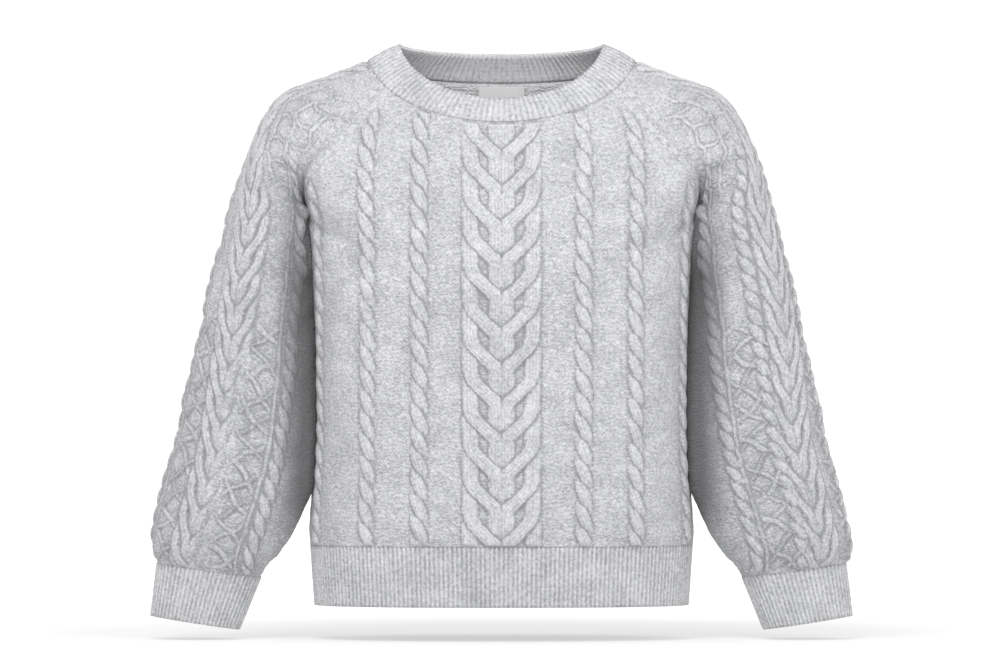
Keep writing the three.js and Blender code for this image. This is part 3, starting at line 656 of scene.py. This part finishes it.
def knit_grid(name, point, last_row, size):
    """A fine grid on a piece's form, with the direction through the cloth and the places on it."""
    length, width = size
    rows = np.linspace(0, last_row, int(length / GRID))
    t, run, fine = spread_evenly(point, rows, int(width / GRID))
    grid = point(rows[:, None], t)
    normal = normals(grid, False)
    if name.endswith("sleeve"):
        joined = int(np.searchsorted(rows, RAGLAN_ROWS))
        normal[joined:] = normals(grid, True)[joined:]
    share = np.linspace(0, 1, t.shape[1])[None, :]
    edge = np.minimum(share, 1 - share) * run[:, -1:]
    ends, holds = edge_directions(name, rows)
    near = (np.maximum(0, 1 - edge / SEAM_BLEND) ** 2 * holds[:, None])[..., None]
    target = np.where((share < 0.5)[..., None], ends[0][:, None], ends[1][:, None])
    normal = unit(lerp(normal, target, near))
    raglan = (1 - ease(rows, RAGLAN_ROWS - 0.6, RAGLAN_ROWS + 0.3))[:, None] + 0 * share
    return rows, grid, normal, share * run[:, -1:], edge, raglan, run, fine


def fashion_marks(relief, edge, v, raglan, down):
    """The row of slanting stitches beside a raglan seam."""
    beads = 0.55 + 0.45 * np.sin(down / 1.9)
    ridge(relief, edge, FASHION_PLACE, FASHION_HALF, FASHION_RISE, v, raglan * beads)


def finish_piece(name, grid, normal, relief, height, folds, w, v, joined=None):
    outer = grid + normal * height[..., None]
    inner = grid + normal * (np.minimum(folds, 0) - WALL)[..., None]
    layers, uvs = relief_layers(relief, w, v)
    return shell(name, outer, inner, False, layers, uvs, INNER_STRIDE, joined)


def panel(front):
    name = "front" if front else "back"
    rows, grid, normal, run, edge, raglan, _, _ = knit_grid(
        name, lambda row, t: panel_point(front, row, t), PANEL_ROWS, PANEL_SIZE
    )
    w = run - run[:, -1:] / 2
    x, z = grid[..., 0], grid[..., 2]
    v = -z
    top = rows[:, None] * PANEL_ROW + 0 * w
    low = PANEL_ROWS * PANEL_ROW - top
    fade = lerp(1, ease(edge, *CABLE_FROM_SEAM), raglan) * ease(top, 1, 5) * ease(low, 0, 4)
    relief = Relief(w.shape)
    v_cable(relief, BODY_V, w, v, fade, BODY_FIRST_V, BODY_PITCH)
    for centre, pitch in BODY_ROPES:
        for side in (-1, 1):
            phase = 5.0 * side + 0.11 * centre
            rope(relief, w, v, fade, side * centre, pitch, BODY_ROPE_HALF, ROPE_RISE, 1, phase)
    fashion_marks(relief, edge, v, raglan, top)
    # Painted shade in the hollows between strands, and a little painted light on raised strands.
    relief.shade = hollow_shade(relief.height)
    calm = ease(edge, 0, 4) * ease(top, 0, 3) * ease(low, 0, 3)
    height = relief.height + crumple(w, v) * (1 - 0.6 * relief.strand) * calm
    folds = panel_folds(x, z, front) * ease(edge, *FOLD_FROM_SEAM) * ease(top, 0, 10) * ease(low, 0, 10)
    height += folds
    height += EDGE_LIFT * (2 - ease(top, 0, 4) - ease(low, 0, 4))
    return finish_piece(name + "_knit", grid, normal, relief, height, folds, w, v)


def sleeve(right):
    name = "right" if right else "left"
    way = -1 if right else 1

    def point(row, t):
        return sleeve_point(row, way * t) * np.array((way, 1, 1))

    rows, grid, normal, place, edge, raglan, run, fine = knit_grid(
        name + "_sleeve", point, SLEEVE_ROWS, SLEEVE_SIZE
    )
    turn = -SLEEVE_LINE_TURN[name] * ease(rows, 0, RAGLAN_ROWS + 2) * way
    middle = np.array([np.interp(t, fine, line) for t, line in zip(turn, run)])
    line = point(rows, turn)
    reach = np.concatenate(([0], np.cumsum(np.linalg.norm(np.diff(line, axis=0), axis=-1))))
    w = place - middle[:, None]
    u = -way * w
    v = reach[:, None] + 0 * w
    end = reach[-1] - v
    fade = lerp(1, ease(edge, *CABLE_FROM_SEAM), raglan) * ease(v, 2, 6) * ease(end, 0, 7)
    relief = Relief(w.shape)
    drift = (13 if name == "left" else 3) * ease(v, 330, 470)
    open_side = 1 - (0.8 * ease(v, 330, 380) * ease(u, 4, 12) if right else 0)
    v_cable(relief, SLEEVE_V, w + way * drift, v, fade * open_side, SLEEVE_FIRST_V, SLEEVE_PITCH)
    below_arm = fade * ease(v, *BELOW_ARM_V)
    for centre, pitch in SLEEVE_ROPES[name]:
        rope(relief, w, v, below_arm, -way * centre, pitch, SLEEVE_ROPE_HALF, ROPE_RISE, 1, 3.0)
        rope(relief, w, v, below_arm, way * centre, pitch, SLEEVE_ROPE_HALF, ROPE_RISE, -1, 9.0)
    rope(relief, u, v, below_arm, -BACK_ROPE, 19, SLEEVE_ROPE_HALF, BACK_ROPE_RISE, -1, 12.0)
    behind = ease(-u, BACK_ROPE - 34, BACK_ROPE - 28) * (1 - ease(-u, BACK_ROPE - 12, BACK_ROPE - 7))
    lattice(relief, u, v, ease(v, *BACK_LATTICE_V) * behind * fade, LATTICE_PITCH, LATTICE_HALF, 2.4)
    chain = SLEEVE_CHAIN[name]
    for side in (-1, 1):
        bend = 2.5 * np.sin(v / 60.0) + 5 * (1 - ease(v, 120, 260))
        ridge(relief, u, side * (chain + bend), 2.1, 1.8, v, below_arm * (0.8 + 0.2 * np.sin(v / 2.3)))
        inside = ease(side * u, 17, 22) * (1 - ease(side * u, chain - 6, chain))
        lattice(relief, u, v, ease(v, *LATTICE_V) * inside * fade, LATTICE_PITCH, LATTICE_HALF, 2.6)
        ladder(relief, side, u, v, ease(v, *LADDER_V) * (1 - ease(v, *LADDER_END_V)) * fade)
    fashion_marks(relief, edge, v, raglan, v)
    # Painted shade in the hollows between strands, and the whole sleeve painted a little darker from below
    # the shoulder.
    relief.shade = hollow_shade(relief.height) + SLEEVE_SHADE * ease(v, 90, 220)
    calm = lerp(1, ease(edge, 0, 4), raglan) * ease(v, 0, 3) * ease(end, 0, 3)
    height = relief.height + crumple(w, v) * (1 - 0.6 * relief.strand) * calm
    folds = sleeve_folds(u, v, end) * calm * lerp(1, ease(edge, *FOLD_FROM_SEAM), raglan) * ease(v, 0, 10)
    folds -= calm * (1.2 + 2.2 * np.exp(-(((v - 45) / 35) ** 2)))
    height += folds
    height += EDGE_LIFT * (2 - ease(v, 0, 4) - ease(end, 0, 4))
    joined = int(np.searchsorted(rows, RAGLAN_ROWS))
    free = ease(rows, 9.6, 11.6)[:, None] * lerp(1, ease(edge, 0, 9), raglan)
    # The sleeve is flattened against the body, and the fold beside it gets painted shade.
    grid, relief.painted_fold_shade = against_body(grid, normal, height, free)
    return finish_piece(name + "_sleeve_knit", grid, normal, relief, height, folds, w, v, joined)


def against_body(grid, normal, height, free):
    """The sleeve's grid, flattened where it lies along the body so that no light shows between them,
    and how much painted shade each place gets in the fold between them."""
    outer = grid + normal * height[..., None]
    x, y, z = np.abs(outer[..., 0]), outer[..., 1], outer[..., 2]
    gap = x - body_half_width(y, z)
    free_share = np.clip((gap - TOUCH_NEAR) / (TOUCH_FAR - TOUCH_NEAR), 0, 1)
    wanted = TOUCH + (TOUCH_FAR - TOUCH) * free_share
    hold = ease(-z, 128, 148) * (1 - ease(-z, 425, 445)) * free
    moved = grid.copy()
    moved[..., 0] += np.sign(grid[..., 0]) * np.where(gap < TOUCH_FAR, wanted - gap, 0) * hold
    side = x - read(SIDE_LINE, "x", z)
    # Painted shade: the colour darkens in the fold beside the body, where little light gets in.
    painted_fold_shade = (1 - ease(side, *FOLD_SHADE_WIDTH)) * ease(-z, *FOLD_SHADE_TOP) * (1 - ease(-z, *FOLD_SHADE_END))
    return moved, painted_fold_shade


# The ribbed pieces

BAND_RIB, HEM_RIB, CUFF_RIB = 6.1, 4.65, 4.8
BAND_RISE, RIB_RISE = 1.2, 1.5
RIB_ROW = 3
RIB_COLUMNS = 6


def ribbed(name, point, wall, closed, pitch, rise, both_sides=False):
    """A ribbed strip or ring whose form is point(q, s), q down it and s round it, both from 0 to 1."""
    fine = np.linspace(0, 1, 721)

    def length_at(q):
        line = point(np.full(fine.shape, q), fine)
        return np.concatenate(([0], np.cumsum(np.linalg.norm(np.diff(line, axis=0), axis=-1))))

    around = length_at(1.0 if both_sides else 0.0)
    ribs = int(round(around[-1] / pitch))
    count = RIB_COLUMNS * ribs + 1
    share = np.linspace(0, 1, count)
    s = np.interp(share * around[-1], around, fine)
    half_way = np.array([0.5])
    drop = np.linalg.norm(point(np.array([0.0]), half_way) - point(np.array([1.0]), half_way))
    rows = max(4, int(drop / RIB_ROW) + 1)
    q = np.linspace(0, 1, rows)
    grid = point(np.repeat(q[:, None], count, 1), np.repeat(s[None, :], rows, 0))
    normal = normals(grid, closed)
    phase = 2 * math.pi * ribs * share[None, :]
    v = q[:, None] * drop + 0 * phase
    rib = 0.5 - 0.5 * np.cos(phase + 0 * v)
    ends = ease(v, 0, 2.5) * ease(drop - v, 0, 2.5)
    height = rise * rib**0.8 * lerp(0.4, 1, ends) + EDGE_LIFT * (1 - ends)
    outer = grid + normal * (height - 0.2)[..., None]
    if both_sides:
        inner = grid - normal * (wall - 0.6 + 0.9 * rib * ends)[..., None]
    else:
        inner = grid - normal * wall
    u = share[None, :] * ribs * pitch + 0 * v
    relief = Relief(v.shape)
    relief.strand = rib
    # Painted shade in the grooves between ribs, and a little painted light on their crests.
    relief.shade = np.clip(0.5 - rib, -0.4, 0.5) * rise / 1.6
    relief.across = u
    relief.along = v
    layers, uvs = relief_layers(relief, u, v)
    return shell(name, outer, inner, closed, layers, uvs, 1 if both_sides else RIB_COLUMNS)


def hem_rib(name, front):
    return ribbed(name, lambda q, s: hem_point(front, q, s), WALL, False, HEM_RIB, RIB_RISE)


def cuff_rib(name, right):
    return ribbed(name, lambda q, s: cuff_point(right, q, s), WALL, True, CUFF_RIB, RIB_RISE)


# Materials


class Nodes:
    """Short helpers that make and link the nodes of one material."""

    def __init__(self, name):
        self.material = bpy.data.materials.new(name)
        self.material.use_nodes = True
        self.tree = self.material.node_tree
        self.shader = self.tree.nodes["Principled BSDF"]

    def add(self, kind, inputs=(), **settings):
        node = self.tree.nodes.new(kind)
        for key, value in settings.items():
            setattr(node, key, value)
        for key, value in dict(inputs).items():
            self.put(node.inputs[key], value)
        return node

    def put(self, socket, value):
        if isinstance(value, bpy.types.NodeSocket):
            self.tree.links.new(value, socket)
        else:
            socket.default_value = value

    def math(self, operation, a, b=0.0, c=0.0):
        return self.add("ShaderNodeMath", {0: a, 1: b, 2: c}, operation=operation).outputs[0]

    def layer(self, name):
        return self.add("ShaderNodeAttribute", attribute_name=name).outputs["Fac"]

    def map_axes(self, name):
        uv = self.add("ShaderNodeUVMap", uv_map=name).outputs[0]
        parts = self.add("ShaderNodeSeparateXYZ", {0: uv})
        return parts.outputs[0], parts.outputs[1]

    def wave(self, value, period, shift=0.0):
        turned = self.math("MULTIPLY_ADD", value, 2 * math.pi / period, shift)
        return self.math("SINE", turned)

    def noise(self, scale, detail=2.0, vector=None, **more):
        inputs = {"Scale": scale, "Detail": detail, **more}
        if vector is not None:
            inputs["Vector"] = vector
        return self.add("ShaderNodeTexNoise", inputs).outputs["Fac"]

    def mix(self, share, a, b):
        node = self.add("ShaderNodeMix", data_type="RGBA")
        for socket, value in zip((node.inputs[0], node.inputs[6], node.inputs[7]), (share, a, b)):
            self.put(socket, value)
        return node.outputs[2]


STITCH_WIDE, STITCH_HIGH = 3.4 * MM, 3.8 * MM
SHADOW_GREY = (0.12, 0.12, 0.124, 1)
TAPE = (0.78, 0.78, 0.77, 1), (0.92, 0.92, 0.91, 1)


def knit_material(name, dark, light, rib=False):
    n = Nodes(name)
    place = n.add("ShaderNodeTexCoord").outputs["Object"]
    fuzz = n.noise(1100.0, 3.0, place)
    wool = n.noise(300.0, 5.0, place, Roughness=0.7)
    cloud = n.noise(40.0, 3.0, place)
    gu, gv = n.map_axes("ground")
    cu, cv = n.map_axes("cable")
    strand = n.layer("strand")
    shade = n.layer("shade")
    inside = n.layer("inside")
    painted_fold_shade = n.layer("painted_fold_shade")

    def plain_stitch(u, v):
        wale = n.math("ABSOLUTE", n.wave(u, 2 * STITCH_WIDE))
        legs = n.math("MULTIPLY", wale, 2.2)
        slope = n.math("MULTIPLY_ADD", v, 2 * math.pi / STITCH_HIGH, legs)
        return n.math("MULTIPLY", n.math("MULTIPLY_ADD", n.math("SINE", slope), 0.3, 0.7), wale)

    def purl_stitch(u, v):
        drift = n.math("MULTIPLY_ADD", n.math("SUBTRACT", n.noise(95.0, 3.0, place), 0.5), 13 * MM, v)
        bend = n.math("MULTIPLY", n.wave(u, 1.3 * STITCH_WIDE), 1.1)
        slope = n.math("MULTIPLY_ADD", drift, 2 * math.pi / STITCH_HIGH, bend)
        return n.math("MULTIPLY_ADD", n.math("SINE", slope), 0.5, 0.5)

    knit = plain_stitch(cu, cv)
    if rib:
        stitch = n.math("MULTIPLY_ADD", n.math("SUBTRACT", knit, 0.5), strand, 0.5)
    else:
        purl = purl_stitch(gu, gv)
        over = n.math("MULTIPLY", strand, n.math("SUBTRACT", 1.0, inside))
        stitch = n.math("MULTIPLY_ADD", n.math("SUBTRACT", knit, purl), over, purl)
    height = n.math("MULTIPLY_ADD", wool, 1.2, stitch)
    height = n.math("MULTIPLY_ADD", fuzz, 0.5, height)
    bump = n.add("ShaderNodeBump", {"Strength": 0.62, "Distance": 0.0013, "Height": height})
    n.put(n.shader.inputs["Normal"], bump.outputs[0])
    tone = n.math("MULTIPLY_ADD", n.math("SUBTRACT", wool, 0.5), 2.3, 0.5)
    tone = n.math("MULTIPLY_ADD", n.math("SUBTRACT", fuzz, 0.5), 1.1, tone)
    tone = n.math("MULTIPLY_ADD", n.math("SUBTRACT", cloud, 0.5), 0.7, tone)
    # Painted shade: the colour follows the stitch relief, darker in the low places between loops and
    # lighter on their tops.
    tone = n.math("MULTIPLY_ADD", n.math("SUBTRACT", stitch, 0.5), 0.26, tone)
    # The shade layer is painted light and shade: above zero it darkens the colour, below zero it lightens
    # it.
    tone = n.math("MULTIPLY_ADD", shade, -0.62, tone)
    # Painted light: the inner faces of the cloth, seen inside the neck, are painted lighter.
    tone = n.math("MULTIPLY_ADD", inside, 0.42, tone)
    clamped = n.add("ShaderNodeClamp", {0: tone}).outputs[0]
    yarn = n.mix(clamped, dark, light)
    # Painted shade: in the fold beside the body the colour is mixed towards shadow grey.
    n.put(n.shader.inputs["Base Color"], n.mix(n.math("MULTIPLY", painted_fold_shade, 0.92), yarn, SHADOW_GREY))
    n.shader.inputs["Roughness"].default_value = 0.92
    n.shader.inputs["Specular IOR Level"].default_value = 0.18
    n.shader.inputs["Sheen Weight"].default_value = 0.2
    n.shader.inputs["Sheen Roughness"].default_value = 0.55
    return n.material


def label_material():
    n = Nodes("blank_label_tape")
    place = n.add("ShaderNodeTexCoord").outputs["Object"]
    parts = n.add("ShaderNodeSeparateXYZ", {0: place})
    weave = n.math("MULTIPLY", n.wave(parts.outputs[0], 0.0008), n.wave(parts.outputs[2], 0.0006))
    thread = n.noise(900.0, 2.0, place)
    tone = n.math("MULTIPLY_ADD", weave, 0.12, thread)
    bump = n.add("ShaderNodeBump", {"Strength": 0.35, "Distance": 0.0003, "Height": weave})
    n.put(n.shader.inputs["Normal"], bump.outputs[0])
    n.put(n.shader.inputs["Base Color"], n.mix(tone, *TAPE))
    n.shader.inputs["Roughness"].default_value = 0.6
    return n.material


YARN = (0.33, 0.333, 0.345, 1), (0.71, 0.712, 0.725, 1)
knit_yarn = knit_material("heather_cable_knit", *YARN)
rib_yarn = knit_material("heather_rib_knit", *YARN, rib=True)

pieces = {
    "front": panel(True),
    "back": panel(False),
    "right_sleeve": sleeve(True),
    "left_sleeve": sleeve(False),
    "neckband": ribbed("neckband_rib", band_point, BAND_WALL, True, BAND_RIB, BAND_RISE, both_sides=True),
    "front_hem_rib": hem_rib("front_hem_knit", True),
    "back_hem_rib": hem_rib("back_hem_knit", False),
    "right_cuff_rib": cuff_rib("right_cuff_knit", True),
    "left_cuff_rib": cuff_rib("left_cuff_knit", False),
}
for node, piece in pieces.items():
    ribs = node not in ("front", "back", "right_sleeve", "left_sleeve")
    piece.data.materials.append(rib_yarn if ribs else knit_yarn)
    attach(piece, "root")
    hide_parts(node)

label = bpy.data.objects["neck_label"]
label.data.materials.clear()
label.data.materials.append(label_material())


# Floor, light and camera, in metres

FLOOR = -0.577
FLOOR_SIZE = 120
EYE = (0.0025, -8.02, -0.274)
LENS = 285.7


def stage_floor():
    """A pale floor that grows a little brighter with distance, so that its edge doesn't show."""
    bpy.ops.mesh.primitive_plane_add(size=FLOOR_SIZE, location=(0, 0, FLOOR))
    floor = bpy.context.object
    floor.name = "floor"
    n = Nodes("pale_floor")
    place = n.add("ShaderNodeTexCoord").outputs["Object"]
    reach = n.add("ShaderNodeVectorMath", {0: place}, operation="LENGTH").outputs["Value"]
    far = n.math("MINIMUM", n.math("MAXIMUM", n.math("MULTIPLY_ADD", reach, 0.45, 0.3), 0.5), 0.9)
    n.put(n.shader.inputs["Emission Strength"], far)
    n.shader.inputs["Emission Color"].default_value = (1, 1, 1, 1)
    n.shader.inputs["Base Color"].default_value = (0.48, 0.48, 0.48, 1)
    n.shader.inputs["Roughness"].default_value = 0.95
    n.shader.inputs["Specular IOR Level"].default_value = 0.1
    floor.data.materials.append(n.material)


def area_light(name, location, target, size, power):
    data = bpy.data.lights.new(name, "AREA")
    data.shape = "DISK"
    data.size = size
    data.energy = power
    lamp = bpy.data.objects.new(name, data)
    lamp.location = location
    aim = np.array(target) - np.array(location)
    lamp.rotation_euler = Vector(aim).to_track_quat("-Z", "Y").to_euler()
    bpy.context.scene.collection.objects.link(lamp)


def sky():
    world = bpy.data.worlds.new("soft_studio")
    world.use_nodes = True
    tree = world.node_tree
    back = tree.nodes["Background"]
    place = tree.nodes.new("ShaderNodeTexCoord")
    parts = tree.nodes.new("ShaderNodeSeparateXYZ")
    height = tree.nodes.new("ShaderNodeMath")
    height.operation = "ABSOLUTE"
    ramp = tree.nodes.new("ShaderNodeValToRGB")
    ramp.color_ramp.elements[0].position = 0.16
    ramp.color_ramp.elements[0].color = (1, 1, 1, 1)
    ramp.color_ramp.elements[1].position = 0.34
    ramp.color_ramp.elements[1].color = (0.62, 0.62, 0.63, 1)
    tree.links.new(place.outputs["Generated"], parts.inputs[0])
    tree.links.new(parts.outputs[2], height.inputs[0])
    tree.links.new(height.outputs[0], ramp.inputs[0])
    tree.links.new(ramp.outputs[0], back.inputs[0])
    back.inputs[1].default_value = 1.1
    bpy.context.scene.world = world


stage_floor()
area_light("key", (-0.7, -2.2, 2.5), (0, 0, -0.25), 1.9, 49)
area_light("fill", (1.3, -2.4, 1.3), (0, 0, -0.3), 1.8, 20)
sky()

camera_data = bpy.data.cameras.new("camera")
camera_data.sensor_width = 36
camera_data.lens = LENS
camera_data.clip_end = 60
camera = bpy.data.objects.new("camera", camera_data)
camera.location = EYE
camera.rotation_euler = (math.radians(90), 0, 0)
bpy.context.scene.collection.objects.link(camera)
bpy.context.scene.camera = camera
bpy.context.scene.view_settings.view_transform = "Standard"
